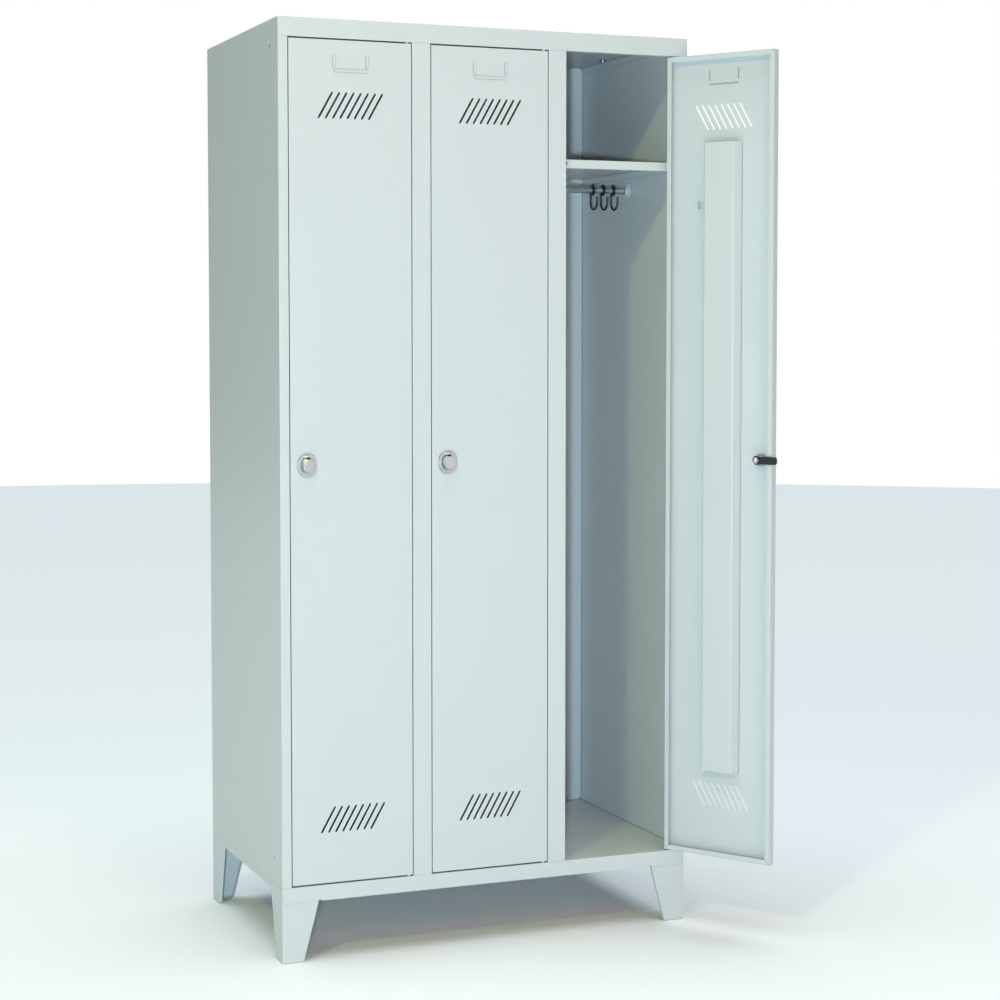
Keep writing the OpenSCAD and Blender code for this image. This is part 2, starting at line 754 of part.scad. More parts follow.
// Flat cam, hanging down when the latch is open
module latch_cam(bay) {
    reach = latch_inset + cam_reach;
    half = cam_w / 2;
    color(steel_dark) at_latch(bay) rotate([0, latch_turn(bay), 0]) difference() {
        translate([0, nut_y, 0]) rotate([90, 0, 0]) linear_extrude(cam_t) {
            circle(r = half + cam_eye_extra);
            polygon([[-half, 0], [-half, cam_chamfer - reach], [cam_chamfer - half, -reach],
                [half - cam_chamfer, -reach], [half, cam_chamfer - reach], [half, 0]]);
        }
        y_cylinder(spindle_r, cam_y - past, nut_y + past);
    }
}

// Domed nut on the end of the spindle
module cap_nut(bay) {
    dome_y = nut_y + nut_flat_t - past;
    color(zinc) at_latch(bay) difference() {
        union() {
            translate([0, nut_y + nut_flat_t, 0]) rotate([90, 0, 0])
                cylinder(r = cap_r, h = nut_flat_t, $fn = 6);
            intersection() {
                translate([0, dome_y, 0]) sphere(r = cap_r * cos(30));
                y_cylinder(cap_r, dome_y, dome_y + cap_r);
            }
        }
        y_cylinder(spindle_r, nut_y - past, nut_y + nut_flat_t);
    }
}

left_side_panel();
right_side_panel();
for (i = [1:bays - 1])
    partition(i);
for (i = [1:bays - 1])
    mid_stile(i);
back_panel();
top_panel();
bottom_panel();
at_corner(false, false) leg();  // leg_front_left
at_corner(true, false) leg();  // leg_front_right
at_corner(false, true) leg();  // leg_back_left
at_corner(true, true) leg();  // leg_back_right
leg_bolts();
top_bolts();
hinge_pins();
door_buffers();
rod_sockets();
for (bay = [0:bays - 1]) {
    hat_shelf(bay);
    coat_rod(bay);
    door_panel(bay);
    door_stiffener(bay);
    garment_hook(bay);
    door_bushes(bay);
    lock_body(bay);
    lock_nut(bay);
    turn_knob(bay);
    latch_cam(bay);
    cap_nut(bay);
    for (i = [0:hooks_per_bay - 1])
        coat_hook(bay, i);
}
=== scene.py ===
# %% [markdown]
# # A three-door locker cabinet in powder-coated steel
# The cabinet is a box of folded 1 mm sheet: side panels with the front stiles folded on, two
# partitions behind channel-shaped middle stiles, a top, a floor, four legs and three doors.
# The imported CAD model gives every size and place. This script adds what the eye wants from real
# sheet metal, such as rounded folds, eased cut edges, cast and turned lock parts, and finishes.

import json
import math

import bmesh
import bpy
from mathutils import Matrix, Vector

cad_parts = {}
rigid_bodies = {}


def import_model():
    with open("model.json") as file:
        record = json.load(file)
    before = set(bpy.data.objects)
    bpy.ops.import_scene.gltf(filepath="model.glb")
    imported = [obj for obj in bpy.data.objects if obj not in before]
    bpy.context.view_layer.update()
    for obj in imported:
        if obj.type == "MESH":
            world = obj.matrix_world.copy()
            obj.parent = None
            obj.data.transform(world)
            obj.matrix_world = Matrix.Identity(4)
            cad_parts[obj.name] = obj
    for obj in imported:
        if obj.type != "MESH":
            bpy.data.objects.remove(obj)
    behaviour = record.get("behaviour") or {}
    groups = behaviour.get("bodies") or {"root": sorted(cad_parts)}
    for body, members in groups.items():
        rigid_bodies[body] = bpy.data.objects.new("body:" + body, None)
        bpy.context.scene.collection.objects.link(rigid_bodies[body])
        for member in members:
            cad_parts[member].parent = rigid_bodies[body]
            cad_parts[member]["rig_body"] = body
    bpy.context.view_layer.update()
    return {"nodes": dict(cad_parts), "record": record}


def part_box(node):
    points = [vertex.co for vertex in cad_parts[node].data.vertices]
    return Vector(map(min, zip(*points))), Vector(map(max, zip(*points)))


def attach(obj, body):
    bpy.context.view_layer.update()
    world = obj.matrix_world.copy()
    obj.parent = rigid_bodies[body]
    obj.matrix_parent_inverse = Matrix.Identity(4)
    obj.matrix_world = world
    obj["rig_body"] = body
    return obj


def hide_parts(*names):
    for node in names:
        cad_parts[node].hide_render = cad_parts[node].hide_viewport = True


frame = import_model()
nodes = frame["nodes"]
slot_of = {part["node"]: part["material_slot"] for part in frame["record"]["subparts"]}
MM = 0.001
BAYS = (1, 2, 3)

# %% [markdown]
# ## Small helpers for node trees
# A shader or a geometry tree is a list of nodes with settings and links. One helper adds a node,
# sets its properties, and fills each input with either a number or another node's output.
# Colours are written as the hex values a paint card gives, and turned to linear light here.

# %% Node and colour helpers
def add(tree, kind, inputs=None, **settings):
    """Adds a node, sets its properties, and sets or links its inputs."""
    node = tree.nodes.new(kind)
    for name, value in settings.items():
        setattr(node, name, value)
    for key, value in (inputs or {}).items():
        socket = node.inputs[key]
        if isinstance(value, bpy.types.NodeSocket):
            tree.links.new(value, socket)
        else:
            socket.default_value = value
    return node


def linear(hex_colour):
    """The linear RGBA colour of an sRGB hex value."""
    channels = [int(hex_colour[i : i + 2], 16) / 255 for i in (1, 3, 5)]
    return [c / 12.92 if c <= 0.04045 else ((c + 0.055) / 1.055) ** 2.4 for c in channels] + [1.0]


def new_material(name):
    """An empty node material, its tree and its Principled shader."""
    material = bpy.data.materials.new(name)
    material.use_nodes = True
    tree = material.node_tree
    tree.nodes.clear()
    shader = add(tree, "ShaderNodeBsdfPrincipled")
    add(tree, "ShaderNodeOutputMaterial", {"Surface": shader.outputs[0]})
    return material, tree, shader


def noise(tree, size_mm, detail=2.0, stretch=(1, 1, 1)):
    """Noise whose features are about size_mm across, in object space."""
    place = add(tree, "ShaderNodeTexCoord")
    stretched = {"Vector": place.outputs["Object"], "Scale": stretch}
    spot = add(tree, "ShaderNodeMapping", stretched)
    size = {"Vector": spot.outputs[0], "Scale": 1 / (size_mm * MM), "Detail": detail}
    return add(tree, "ShaderNodeTexNoise", size).outputs["Fac"]


print("helpers ready")

# %% [markdown]
# ## Finishes
# Polyester powder coat is sprayed dry and baked, so it flows into a film with a faint orange-peel
# ripple a few millimetres long. It has the gloss of a plastic, not of a metal, and a colour that
# stays even. Three noises give it that: a fine one as bump, a wider one in the roughness, and a
# broad one that barely shifts the colour, as film thickness does.

# %% Powder coat
def painted_crevice_shade(tree, colour, reach_mm, darkest, dark_hex):
    """Painted shade: a colour darkened towards dark_hex in crevices narrower than the reach."""
    crevice = add(tree, "ShaderNodeAmbientOcclusion", {"Distance": reach_mm * MM}, samples=8)
    shade = add(tree, "ShaderNodeMapRange", {"Value": crevice.outputs["AO"], "To Min": darkest})
    layers = {0: shade.outputs[0], 6: linear(dark_hex), 7: colour}
    return add(tree, "ShaderNodeMix", layers, data_type="RGBA").outputs[2]


def powder_coat(name, base_hex, thin_hex, gloss=0.34):
    """Light grey polyester powder coat on steel."""
    material, tree, shader = new_material(name)
    thickness = noise(tree, size_mm=180, detail=3)
    film = add(tree, "ShaderNodeMapRange", {"Value": thickness, "To Max": 0.6})
    layers = {0: film.outputs[0], 6: linear(base_hex), 7: linear(thin_hex)}
    tint = add(tree, "ShaderNodeMix", layers, data_type="RGBA").outputs[2]
    # painted shade: crevices a few millimetres wide, such as the gaps between panels, are darkened
    # towards dark navy
    coat_with_painted_shade = painted_crevice_shade(tree, tint, reach_mm=3.5, darkest=0.12, dark_hex="#1A1F2C")
    tree.links.new(coat_with_painted_shade, shader.inputs["Base Color"])
    # real orange peel is 2 to 3 mm long; it is drawn at 5 mm so that it shows at this distance
    ripple = {"Height": noise(tree, size_mm=5), "Strength": 0.12, "Distance": 0.25 * MM}
    peel = add(tree, "ShaderNodeBump", ripple)
    tree.links.new(peel.outputs[0], shader.inputs["Normal"])
    patches = noise(tree, size_mm=40, detail=4)
    flow = {"Value": patches, "To Min": gloss - 0.04, "To Max": gloss + 0.05}
    roughness = add(tree, "ShaderNodeMapRange", flow)
    tree.links.new(roughness.outputs[0], shader.inputs["Roughness"])
    shader.inputs["IOR"].default_value = 1.5
    return material


paint = powder_coat("light_grey_powder_coat", "#CDD2CF", "#C8CECC")
print("powder coat:", paint.name)

# %% [markdown]
# The small hardware is plated or treated metal. Bright zinc is a mirror blurred by the steel's
# own surface, so its roughness varies in patches, and polished nickel blurs less. A drawn tube
# shows its draw marks as streaks along its length. Phosphated and oiled spring steel is dark and
# still shines.

# %% Metals
def plated_steel(name, base_hex, smooth, rough, stretch=(1, 1, 1)):
    """Bright plating, with patches or draw marks in its roughness."""
    material, tree, shader = new_material(name)
    marks = noise(tree, size_mm=6, detail=5, stretch=stretch)
    stain = noise(tree, size_mm=30)
    grey = linear(base_hex)
    dull = [c * 0.86 for c in grey[:3]] + [1.0]
    tint = add(tree, "ShaderNodeMix", {0: stain, 6: grey, 7: dull}, data_type="RGBA").outputs[2]
    # painted shade: the corners between parts are darkened towards near black
    plate_with_painted_shade = painted_crevice_shade(tree, tint, reach_mm=6, darkest=0.05, dark_hex="#15161F")
    tree.links.new(plate_with_painted_shade, shader.inputs["Base Color"])
    wear = add(tree, "ShaderNodeMapRange", {"Value": marks, "To Min": smooth, "To Max": rough})
    tree.links.new(wear.outputs[0], shader.inputs["Roughness"])
    scored = {"Height": marks, "Strength": 0.08, "Distance": 0.05 * MM}
    scratch = add(tree, "ShaderNodeBump", scored)
    tree.links.new(scratch.outputs[0], shader.inputs["Normal"])
    shader.inputs["Metallic"].default_value = 1.0
    return material


zinc = plated_steel("bright_zinc_plate", "#C4C7CA", 0.22, 0.38)
drawn_tube = plated_steel("drawn_zinc_plated_tube", "#BFC2C5", 0.2, 0.42, stretch=(0.02, 1, 1))
nickel = plated_steel("nickel_plated_die_cast_zinc", "#D9D8D4", 0.1, 0.22)
dark_steel = plated_steel("phosphated_spring_steel", "#4A494C", 0.28, 0.46)
print("metals:", zinc.name, drawn_tube.name, nickel.name, dark_steel.name)

# %% [markdown]
# The rail sockets and the hinge bushes are moulded nylon, slightly waxy, with a soft sheen. The
# door buffers are nitrile rubber, which is nearly black and matt with a fine grain.

# %% Polymers
def moulded(name, base_hex, rough, grain_mm, ior):
    """A moulded polymer with a fine grain."""
    material, tree, shader = new_material(name)
    grain = noise(tree, grain_mm, detail=3)
    base = linear(base_hex)
    worn = [c * 0.92 for c in base[:3]] + [1.0]
    tint = add(tree, "ShaderNodeMix", {0: grain, 6: base, 7: worn}, data_type="RGBA")
    tree.links.new(tint.outputs[2], shader.inputs["Base Color"])
    sheen = {"Value": grain, "To Min": rough - 0.05, "To Max": rough + 0.05}
    tree.links.new(add(tree, "ShaderNodeMapRange", sheen).outputs[0], shader.inputs["Roughness"])
    bump = add(tree, "ShaderNodeBump", {"Height": grain, "Strength": 0.15, "Distance": 0.05 * MM})
    tree.links.new(bump.outputs[0], shader.inputs["Normal"])
    shader.inputs["IOR"].default_value = ior
    return material


nylon = moulded("moulded_nylon", "#D3D9DA", 0.42, 1.5, 1.53)
rubber = moulded("nitrile_rubber", "#1D1D1F", 0.75, 0.8, 1.52)
finish_of = {
    "powder_coat": paint,
    "zinc_plate": zinc,
    "dark_steel": dark_steel,
    "nylon": nylon,
    "door_buffer_rubber": rubber,
}
print("finishes:", sorted(finish_of))

# %% [markdown]
# ## From CAD solid to shown piece
# Each shown piece takes the place of one CAD node and rides on the same body. It takes the finish
# of that node's material slot in the record, unless another finish is given. Every piece is
# finished as a plain mesh at the origin.

# %% Putting a piece on show
def baked(piece):
    """Turns a piece's modifiers into plain mesh, at the origin."""
    graph = bpy.context.evaluated_depsgraph_get()
    result = bpy.data.meshes.new_from_object(piece.evaluated_get(graph))
    piece.modifiers.clear()
    piece.data = result
    result.name = piece.name
    return piece


def piece_from(shape, name):
    """A new object from a bmesh, which is freed."""
    mesh = bpy.data.meshes.new(name)
    shape.to_mesh(mesh)
    shape.free()
    piece = bpy.data.objects.new(name, mesh)
    bpy.context.scene.collection.objects.link(piece)
    return piece


def show(piece, node, material=None):
    """Shows a piece in place of a CAD node, on that node's body."""
    piece.data.materials.clear()
    piece.data.materials.append(material or finish_of[slot_of[node]])
    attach(piece, nodes[node]["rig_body"])
    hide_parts(node)
    return piece


print("a shown piece takes over one node, its body and its slot")

# %% [markdown]
# ## Folded sheet
# The folds are pressed tight: the outer radius stays a little under the sheet's thickness, because
# some sheets end one thickness past a fold. The CAD solids have sharp folds, so the copy is read
# edge by edge. A raised edge is a fold if a hollow edge runs one thickness behind both its faces,
# or if it is a long edge that turns less than a square corner, and any other raised edge was cut.
# Bevel weights then give each kind its own radius in one Bevel modifier, which keeps the corners,
# where three folds meet, in one piece. Hand-placed bevels would miss some of the edges.

# %% Finding folds and cut edges
SHEET = 1.0 * MM
OUTER_RADIUS = 0.8 * MM
INNER_RADIUS = 0.15 * MM
CUT_RADIUS = 0.15 * MM
SHARP = math.radians(14)
TINY = 0.002 * MM
FOLD_TOLERANCE = 0.15 * SHEET
OPEN_BEND_DEGREES = (50, 80)
OPEN_BEND_LENGTH = 50 * MM


def merged_copy(node):
    """A bmesh of a CAD node with one vertex at each corner."""
    shape = bmesh.new()
    shape.from_mesh(nodes[node].data)
    bmesh.ops.remove_doubles(shape, verts=shape.verts, dist=TINY)
    shape.normal_update()
    return shape


def are_one_fold(raised, hollow):
    """True if a hollow edge lies one sheet thickness behind both faces of a raised edge."""
    start, end = (v.co for v in raised.verts)
    length = (end - start).length
    along = (end - start) / length
    marks = []
    for v in hollow.verts:
        offset = v.co - start
        marks.append(offset.dot(along))
        depths = [-offset.dot(face.normal) for face in raised.link_faces]
        if any(abs(depth - SHEET) > FOLD_TOLERANCE for depth in depths):
            return False
    return min(marks) < length - SHEET and max(marks) > SHEET


def is_open_bend(edge):
    """True for a long raised edge that turns less than a square corner, as on a stiffener."""
    least, most = OPEN_BEND_DEGREES
    turn = math.degrees(edge.calc_face_angle())
    return least < turn < most and edge.calc_length() > OPEN_BEND_LENGTH


def sorted_edges(shape):
    """The outer folds, inner folds and cut edges of a folded sheet."""
    sharp = [e for e in shape.edges if len(e.link_faces) == 2 and e.calc_face_angle() > SHARP]
    hollow = [e for e in sharp if not e.is_convex]
    raised = [e for e in sharp if e.is_convex]
    outer = {e for e in raised if is_open_bend(e) or any(are_one_fold(e, h) for h in hollow)}
    inner = {h for h in hollow if any(are_one_fold(e, h) for e in outer)}
    return outer, inner, set(raised) - outer


print("fold radii", INNER_RADIUS / MM, "and", OUTER_RADIUS / MM, "mm")

# %% [markdown]
# The weights are shares of the outer radius. The bevel marks the flat sheet as stronger than the
# folds, and the Weighted Normal modifier lets the strong faces set the normals they share. The
# flats then shade flat, and only the folds catch a line of light.

# %% Rounding the folds
def rounded(shape, name, radius, weights, segments=3):
    """A baked piece whose edges are bevelled by their share of a radius."""
    shape.edges.index_update()
    share = {e.index: w for edges, w in weights for e in edges}
    piece = piece_from(shape, name)
    layer = piece.data.attributes.new("bevel_weight_edge", "FLOAT", "EDGE")
    for index, weight in share.items():
        layer.data[index].value = weight
    piece.data.shade_smooth()
    bevel = piece.modifiers.new("rounding", "BEVEL")
    bevel.limit_method = "WEIGHT"
    bevel.width = radius
    bevel.segments = segments
    bevel.use_clamp_overlap = False
    bevel.loop_slide = False
    bevel.face_strength_mode = "FSTR_ALL"
    flats = piece.modifiers.new("flat_sheet", "WEIGHTED_NORMAL")
    flats.use_face_influence = True
    return baked(piece)


def folded_sheet(node, fold_radius=OUTER_RADIUS):
    """A CAD node of folded sheet, with rounded folds and eased cut edges."""
    shape = merged_copy(node)
    outer, inner, cut = sorted_edges(shape)
    weights = [(outer, 1.0), (inner, INNER_RADIUS / fold_radius), (cut, CUT_RADIUS / fold_radius)]
    piece = rounded(shape, node + "_sheet", fold_radius, weights)
    print(f"{node}: {len(outer)} outer folds, {len(inner)} inner folds, {len(cut)} cut edges")
    return show(piece, node)


casing = ["left_side_panel", "right_side_panel", "partition_1", "partition_2", "mid_stile_1"]
casing += ["mid_stile_2", "back_panel", "top_panel", "bottom_panel"]
casing += [f"leg_{end}_{side}" for end in ("front", "back") for side in ("left", "right")]
casing += [f"hat_shelf_{bay}" for bay in BAYS]
for node in casing:
    folded_sheet(node)

# %% [markdown]
# ## Doors
# A door is a tray folded from one blank, with a trapezoidal stiffener welded up its middle and a
# strip hook on the stiffener's flank. The slots and the label tabs are pressed in the same blank,
# so they get the small radius of a cut edge.

# %% Door trays, stiffeners and garment hooks
STIFFENER_RADIUS = 2.2 * MM

for bay in BAYS:
    folded_sheet(f"door_panel_{bay}")
    folded_sheet(f"door_stiffener_{bay}", fold_radius=STIFFENER_RADIUS)
    folded_sheet(f"garment_hook_{bay}")

# %% [markdown]
# ## Locks
# Each door has a turn latch. The plate with its padlock staple and the nuts are zinc plated, the
# cam is dark spring steel, and all of them need softened edges only. The grip is a polished and
# nickel plated casting: its front face stands on a wide chamfer, and those facets flash and
# darken as the light moves round.

# %% Castings, nuts and cams
SOFT_EDGE = math.radians(25)
FACET_EDGE = math.radians(10)
GRIP_EDGE_RADIUS = 0.3 * MM
GRIP_CHAMFER = 2.6 * MM


def eased(node, radius, material=None):
    """A CAD part with softened raised edges."""
    shape = merged_copy(node)
    raised = {e for e in shape.edges if e.is_convex and e.calc_face_angle() > SOFT_EDGE}
    return show(rounded(shape, node + "_part", radius, [(raised, 1.0)], 2), node, material)


def faceted_grip(node, chamfer):
    """The grip of a latch, its front face narrowed so that flat facets lead up to it."""
    shape = merged_copy(node)
    face = max(shape.faces, key=lambda f: f.calc_area())
    ahead = face.normal.copy()
    level = max(v.co.dot(ahead) for v in face.verts)
    front = [v for v in shape.verts if abs(v.co.dot(ahead) - level) < TINY]
    middle = sum((v.co for v in front), Vector()) / len(front)
    for v in front:
        offset = v.co - middle
        v.co = middle + offset * (1 - chamfer / offset.length)
    shape.normal_update()
    raised = {e for e in shape.edges if e.is_convex and e.calc_face_angle() > FACET_EDGE}
    return show(rounded(shape, node + "_part", GRIP_EDGE_RADIUS, [(raised, 1.0)], 2), node, nickel)


for bay in BAYS:
    eased(f"lock_body_{bay}", 0.7 * MM)
    faceted_grip(f"turn_knob_{bay}", GRIP_CHAMFER)
    eased(f"lock_nut_{bay}", 0.5 * MM)
    eased(f"cap_nut_{bay}", 0.3 * MM)
    eased(f"latch_cam_{bay}", 0.4 * MM)
print("locks fitted on", len(BAYS), "doors")

# %% [markdown]
# ## Rail, sockets and pins
# The coat rail is drawn tube, pushed into moulded sockets. The upper hinge pins have a small head
# and the lower ones end flush. A rubber button on the shelf's edge stops each door.

# %% Small round parts
for bay in BAYS:
    eased(f"coat_rod_{bay}", 0.3 * MM, drawn_tube)
    eased(f"door_bushes_{bay}", 0.15 * MM)
eased("rod_sockets", 0.5 * MM)
eased("hinge_pins", 0.2 * MM)
eased("door_buffers", 0.6 * MM)
print("rails, sockets, bushes, pins and buffers finished")

# %% [markdown]
# ## Coat hooks
# Three hooks slide on each rail. A hook is one length of spring steel bent round the rail and down
# into an open bowl, so a path and a round section describe it fully. Geometry Nodes sweeps the
# section along the path, and closes both ends.

# %% Path of a hook
WIRE = 4.5 * MM
EYE_RADIUS = 8.2 * MM + WIRE / 2
BOWL_RADIUS = 15.0 * MM + WIRE / 2
BOWL_DROP = 26.5 * MM
TIP_DROP = 13.5 * MM + WIRE / 2
EYE_END = math.radians(310)
EYE_STEPS = 28
BOWL_STEPS = 20


def hook_path(name):
    """The centre line of a hook in its own YZ plane, with the rail's axis at the origin."""
    bowl_y = EYE_RADIUS - BOWL_RADIUS
    eye_turns = [EYE_END * (1 - i / EYE_STEPS) for i in range(EYE_STEPS + 1)]
    eye = [(EYE_RADIUS * math.cos(t), EYE_RADIUS * math.sin(t)) for t in eye_turns]
    bowl = [
        (bowl_y + BOWL_RADIUS * math.cos(t), -BOWL_DROP - BOWL_RADIUS * math.sin(t))
        for t in (math.pi * i / BOWL_STEPS for i in range(BOWL_STEPS + 1))
    ]
    tip = [(bowl_y - BOWL_RADIUS, -TIP_DROP)]
    points = eye + bowl + tip
    curve = bpy.data.curves.new(name, "CURVE")
    curve.dimensions = "3D"
    line = curve.splines.new("POLY")
    line.points.add(len(points) - 1)
    for point, (y, z) in zip(line.points, points):
        point.co = (0, y, z, 1)
    path = bpy.data.objects.new(name, curve)
    bpy.context.scene.collection.objects.link(path)
    return path


print("eye radius", round(EYE_RADIUS / MM, 2), "mm, bowl radius", round(BOWL_RADIUS / MM, 2), "mm")

# %% [markdown]
# The tree below takes the path, the size of the section and the finish as named inputs. Changing
# the wire's size changes all nine hooks, which editing meshes by hand would not do.

# %% Geometry Nodes: wire along a path
def node_group(name, sockets):
    """A geometry node group with the given (name, socket type) inputs and one output."""
    group = bpy.data.node_groups.new(name, "GeometryNodeTree")
    for title, kind in sockets:
        group.interface.new_socket(title, in_out="INPUT", socket_type=kind)
    group.interface.new_socket("Geometry", in_out="OUTPUT", socket_type="NodeSocketGeometry")
    source = add(group, "NodeGroupInput")
    return group, source.outputs


def grown(name, group, base, values):
    """A plain mesh made by a node group on a base object, with its inputs set by identifier."""
    growth = base.modifiers.new(name, "NODES")
    growth.node_group = group
    for item in group.interface.items_tree:
        if item.in_out == "INPUT" and item.name in values:
            growth[item.identifier] = values[item.name]
    base.update_tag()
    graph = bpy.context.evaluated_depsgraph_get()
    mesh = bpy.data.meshes.new_from_object(base.evaluated_get(graph))
    base.modifiers.clear()
    piece = bpy.data.objects.new(name, mesh)
    bpy.context.scene.collection.objects.link(piece)
    return piece


wire_sweep, source = node_group(
    "wire_along_a_path",
    [
        ("Path", "NodeSocketGeometry"),
        ("Wire", "NodeSocketFloat"),
        ("Place", "NodeSocketVector"),
        ("Finish", "NodeSocketMaterial"),
    ],
)
half = add(wire_sweep, "ShaderNodeMath", {0: source["Wire"], 1: 0.5}, operation="MULTIPLY")
round_wire = {"Resolution": 14, "Radius": half.outputs[0]}
section = add(wire_sweep, "GeometryNodeCurvePrimitiveCircle", round_wire)
sweep = {"Curve": source["Path"], "Profile Curve": section.outputs["Curve"], "Fill Caps": True}
wire = add(wire_sweep, "GeometryNodeCurveToMesh", sweep)
welded = {"Geometry": wire.outputs[0], "Distance": TINY}
joined = add(wire_sweep, "GeometryNodeMergeByDistance", welded)
placed = {"Geometry": joined.outputs[0], "Translation": source["Place"]}
moved = add(wire_sweep, "GeometryNodeTransform", placed)
real = add(wire_sweep, "GeometryNodeRealizeInstances", {"Geometry": moved.outputs[0]})
finish = {"Geometry": real.outputs[0], "Material": source["Finish"]}
coated = add(wire_sweep, "GeometryNodeSetMaterial", finish)
add(wire_sweep, "NodeGroupOutput", {0: coated.outputs[0]})
print("wire sweep:", len(wire_sweep.nodes), "nodes")

# %% Nine hooks on three rails
path = hook_path("hook_centre_line")
for bay in BAYS:
    rod_low, rod_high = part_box(f"coat_rod_{bay}")
    axis = (rod_low + rod_high) / 2
    for letter in "abc":
        node = f"coat_hook_{bay}{letter}"
        low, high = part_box(node)
        place = Vector(((low.x + high.x) / 2, axis.y, axis.z))
        values = {"Wire": WIRE, "Place": place, "Finish": dark_steel}
        hook = grown(f"{node}_wire", wire_sweep, path, values)
        hook.data.shade_smooth()
        show(hook, node)
bpy.data.objects.remove(path)
print("hooks:", 3 * len(BAYS))

# %% [markdown]
# ## Bolts
# Flanged bolts hold the legs, and a bolt with a washer stands under the top of each bay, ready
# for joining cabinets. They are all alike, so one bolt is described in Geometry Nodes and set on
# points. The points come from the CAD bolts themselves, one for each separate solid.

# %% Geometry Nodes: one bolt on many points
def solid_boxes(node):
    """The box of each separate solid of a CAD node, as (low, high)."""
    shape = merged_copy(node)
    waiting = set(shape.verts)
    boxes = []
    while waiting:
        front = {waiting.pop()}
        found = set(front)
        while front:
            front = {e.other_vert(v) for v in front for e in v.link_edges} - found
            found |= front
        waiting -= found
        corners = [v.co for v in found]
        low = Vector(min(c[i] for c in corners) for i in range(3))
        high = Vector(max(c[i] for c in corners) for i in range(3))
        boxes.append((low, high))
    shape.free()
    return boxes


# the head and the shank reach this far into the flange, so that the three parts are one
BOLT_LAP = SHEET / 4
bolt_parts = ("Flange", "Head", "Shank")
bolt_sizes = [f"{part} {size}" for part in bolt_parts for size in ("Radius", "Height")]
bolt_row, source = node_group(
    "bolts_on_points",
    [
        ("Points", "NodeSocketGeometry"),
        ("Head Sides", "NodeSocketInt"),
        ("Finish", "NodeSocketMaterial"),
    ]
    + [(size, "NodeSocketFloat") for size in bolt_sizes],
)


def bolt_part(sides, radius, height, middle):
    """A closed cylinder of the bolt, with its middle at a height."""
    size = {"Vertices": sides, "Radius": radius, "Depth": height}
    body = add(bolt_row, "GeometryNodeMeshCylinder", size)
    lift = add(bolt_row, "ShaderNodeCombineXYZ", {"Z": middle})
    placed = {"Geometry": body.outputs["Mesh"], "Translation": lift.outputs[0]}
    return add(bolt_row, "GeometryNodeTransform", placed)


half_flange = {0: source["Flange Height"], 1: -0.5}
flange_middle = add(bolt_row, "ShaderNodeMath", half_flange, operation="MULTIPLY").outputs[0]
whole_head = {0: source["Head Height"], 1: BOLT_LAP}
head_height = add(bolt_row, "ShaderNodeMath", whole_head, operation="ADD").outputs[0]
below_flange = {0: BOLT_LAP, 1: source["Flange Height"]}
head_top = add(bolt_row, "ShaderNodeMath", below_flange, operation="SUBTRACT").outputs[0]
half_head = {0: head_height, 1: -0.5, 2: head_top}
head_middle = add(bolt_row, "ShaderNodeMath", half_head, operation="MULTIPLY_ADD").outputs[0]
whole_shank = {0: source["Shank Height"], 1: BOLT_LAP}
shank_height = add(bolt_row, "ShaderNodeMath", whole_shank, operation="ADD").outputs[0]
half_shank = {0: shank_height, 1: 0.5, 2: -BOLT_LAP}
shank_middle = add(bolt_row, "ShaderNodeMath", half_shank, operation="MULTIPLY_ADD").outputs[0]
parts = [
    bolt_part(28, source["Flange Radius"], source["Flange Height"], flange_middle),
    bolt_part(source["Head Sides"], source["Head Radius"], head_height, head_middle),
    bolt_part(20, source["Shank Radius"], shank_height, shank_middle),
]
bolt = add(bolt_row, "GeometryNodeJoinGeometry")
for part in parts:
    bolt_row.links.new(part.outputs[0], bolt.inputs[0])
row = add(bolt_row, "GeometryNodeMeshToPoints", {"Mesh": source["Points"]})
placed = {"Points": row.outputs[0], "Instance": bolt.outputs[0]}
set_out = add(bolt_row, "GeometryNodeInstanceOnPoints", placed)
real = add(bolt_row, "GeometryNodeRealizeInstances", {"Geometry": set_out.outputs[0]})
finish = {"Geometry": real.outputs[0], "Material": source["Finish"]}
coated = add(bolt_row, "GeometryNodeSetMaterial", finish)
add(bolt_row, "NodeGroupOutput", {0: coated.outputs[0]})
print("bolt row:", len(bolt_row.nodes), "nodes")

# %% Leg bolts and joining bolts
# node, flange height and head radius in mm, sides of the head, and how many sheets the shank
# passes: two at a leg, and one under the top
BOLT_KINDS = (("leg_bolts", 1.0, 4.8, 6, 2), ("top_bolts", 1.5, 5.5, 24, 1))
BOLT_SHANK_RADIUS = 3 * MM
BOLT_EDGE_RADIUS = 0.35 * MM
BOLT_SHARP = math.radians(40)

for node, flange_mm, head_mm, sides, sheets in BOLT_KINDS:
    boxes = solid_boxes(node)
    low, high = boxes[0]
    shank = sheets * SHEET
    spots = bmesh.new()
    for corner, opposite in boxes:
        centre = (corner + opposite) / 2
        spots.verts.new((centre.x, centre.y, opposite.z - shank))
    points = piece_from(spots, node + "_points")
    flange = ((high.x - low.x) / 2, flange_mm * MM)
    head = (head_mm * MM, high.z - low.z - shank - flange_mm * MM)
    sizes = (*flange, *head, BOLT_SHANK_RADIUS, shank)
    values = dict(zip(bolt_sizes, sizes)) | {"Head Sides": sides, "Finish": zinc}
    bolts = grown(node + "_row", bolt_row, points, values)
    bpy.data.objects.remove(points)
    edge = bolts.modifiers.new("softened", "BEVEL")
    edge.width = BOLT_EDGE_RADIUS
    edge.segments = 2
    edge.angle_limit = BOLT_SHARP
    bolts.modifiers.new("flat_faces", "WEIGHTED_NORMAL")
    bolts.data.shade_smooth()
    show(baked(bolts), node)
    print(node, len(boxes))

# %% [markdown]
# ## Floor, light and camera
# Each lamp's strength is what it does to a plain white card. A broad overhead light sets the
# level of the floor and slants down the fronts. A small cool key stands to the left, a warm lamp
# above it reaches into the open bay, and a faint red one stands in front. The surround is white
# to the eye and lights nothing directly: it only shows in reflections, bright in front and dim
# behind. The camera has a long lens, so the sides stay nearly parallel.

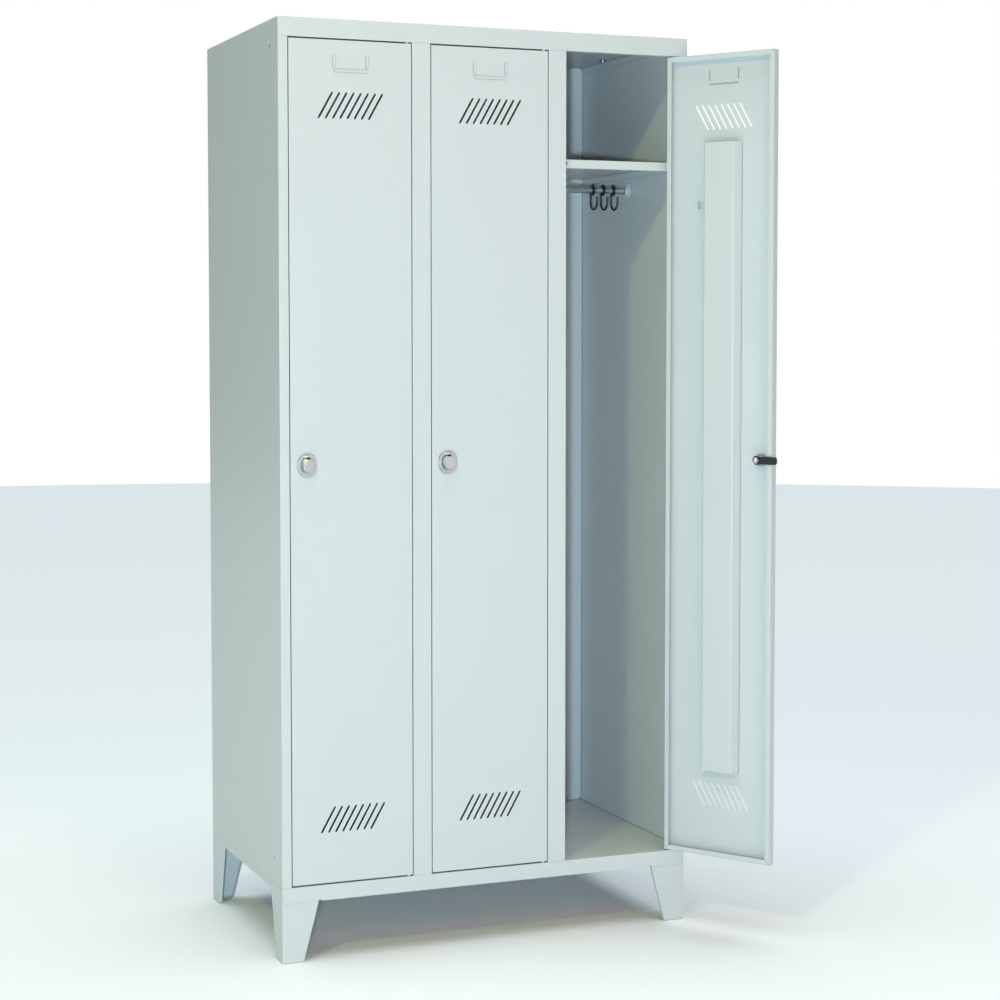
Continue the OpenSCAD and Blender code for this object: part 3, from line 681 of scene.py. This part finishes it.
# %% Studio
AIM = Vector((0.62, 0.0, 1.0))
LAMP_DISTANCE = 6.0
OVERHEAD_STRENGTH = 0.9
OVERHEAD_SPREAD = math.radians(60)
FLOOR_RADIUS = 14
CAMERA_LENS_MM = 77.66
CAMERA_SHIFT = -0.05
CAMERA_PLACE = (-1.2064, -4.1231, 1.2694)
CAMERA_DIP = math.radians(3.123)
CAMERA_TURN = math.radians(22.143)


def lamp(name, azimuth, elevation, size, strength, colour):
    """A square lamp. Azimuth 0 is in front, positive to the right; a white card facing the lamp
    shows strength times full white."""
    turn, rise = math.radians(azimuth), math.radians(elevation)
    level = math.cos(rise)
    towards = Vector((math.sin(turn) * level, -math.cos(turn) * level, math.sin(rise)))
    light = bpy.data.lights.new(name, "AREA")
    light.size = size
    light.energy = math.pi**2 * strength * LAMP_DISTANCE**2
    light.color = colour
    holder = bpy.data.objects.new(name, light)
    aim = towards.to_track_quat("Z", "Y").to_matrix().to_4x4()
    holder.matrix_world = Matrix.Translation(AIM + towards * LAMP_DISTANCE) @ aim
    bpy.context.scene.collection.objects.link(holder)


lamp("key", -25.2, 0, 0.15, 0.55, (0.57, 0.79, 1.0))
lamp("warm_high", -45, 34, 0.3, 0.17, (0.95, 1.0, 0.35))
lamp("warm_front", 3, 25, 1.0, 0.12, (1.0, 0.3, 0.15))
overhead = bpy.data.lights.new("overhead", "SUN")
overhead.energy = math.pi * OVERHEAD_STRENGTH
overhead.color = (0.86, 0.96, 1.0)
overhead.angle = OVERHEAD_SPREAD
bpy.context.scene.collection.objects.link(bpy.data.objects.new("overhead", overhead))

floor_shape = bmesh.new()
bmesh.ops.create_circle(floor_shape, cap_ends=True, radius=FLOOR_RADIUS, segments=96)
floor = piece_from(floor_shape, "studio_floor")
floor_paint, floor_tree, floor_shader = new_material("matt_white_floor")
matt = {"Value": noise(floor_tree, size_mm=90, detail=3), "To Min": 0.62, "To Max": 0.7}
dulled = add(floor_tree, "ShaderNodeMapRange", matt)
floor_tree.links.new(dulled.outputs[0], floor_shader.inputs["Roughness"])
floor_shader.inputs["Base Color"].default_value = linear("#F8F9F9")
floor.data.materials.append(floor_paint)

world = bpy.data.worlds.new("studio_surround")
bpy.context.scene.world = world
world.use_nodes = True
surround = world.node_tree
surround.nodes.clear()
ray = add(surround, "ShaderNodeLightPath")
# white to the eye; reflections show a bright room in front and a dim one behind
place = add(surround, "ShaderNodeTexCoord")
depth = add(surround, "ShaderNodeSeparateXYZ", {"Vector": place.outputs["Generated"]})
room = {"Value": depth.outputs["Y"], "From Min": -1.0, "From Max": 0.5}
bright = add(surround, "ShaderNodeMapRange", room | {"To Min": 0.95, "To Max": 0.15})
in_gloss = {0: ray.outputs["Is Glossy Ray"], 1: bright.outputs[0]}
glow = add(surround, "ShaderNodeMath", in_gloss, operation="MULTIPLY")
to_eye = {0: ray.outputs["Is Camera Ray"], 1: glow.outputs[0]}
seen = add(surround, "ShaderNodeMath", to_eye, operation="ADD")
backdrop = {"Color": (1, 1, 1, 1), "Strength": seen.outputs[0]}
white = add(surround, "ShaderNodeBackground", backdrop)
add(surround, "ShaderNodeOutputWorld", {"Surface": white.outputs[0]})

camera_data = bpy.data.cameras.new("camera")
camera_data.sensor_width = 36
camera_data.lens = CAMERA_LENS_MM
camera_data.shift_y = CAMERA_SHIFT
camera_data.clip_end = 100
camera = bpy.data.objects.new("camera", camera_data)
camera.location = CAMERA_PLACE
camera.rotation_euler = (math.pi / 2 - CAMERA_DIP, 0, -CAMERA_TURN)
bpy.context.scene.collection.objects.link(camera)
bpy.context.scene.camera = camera
bpy.context.scene.view_settings.view_transform = "Standard"
print("studio ready")
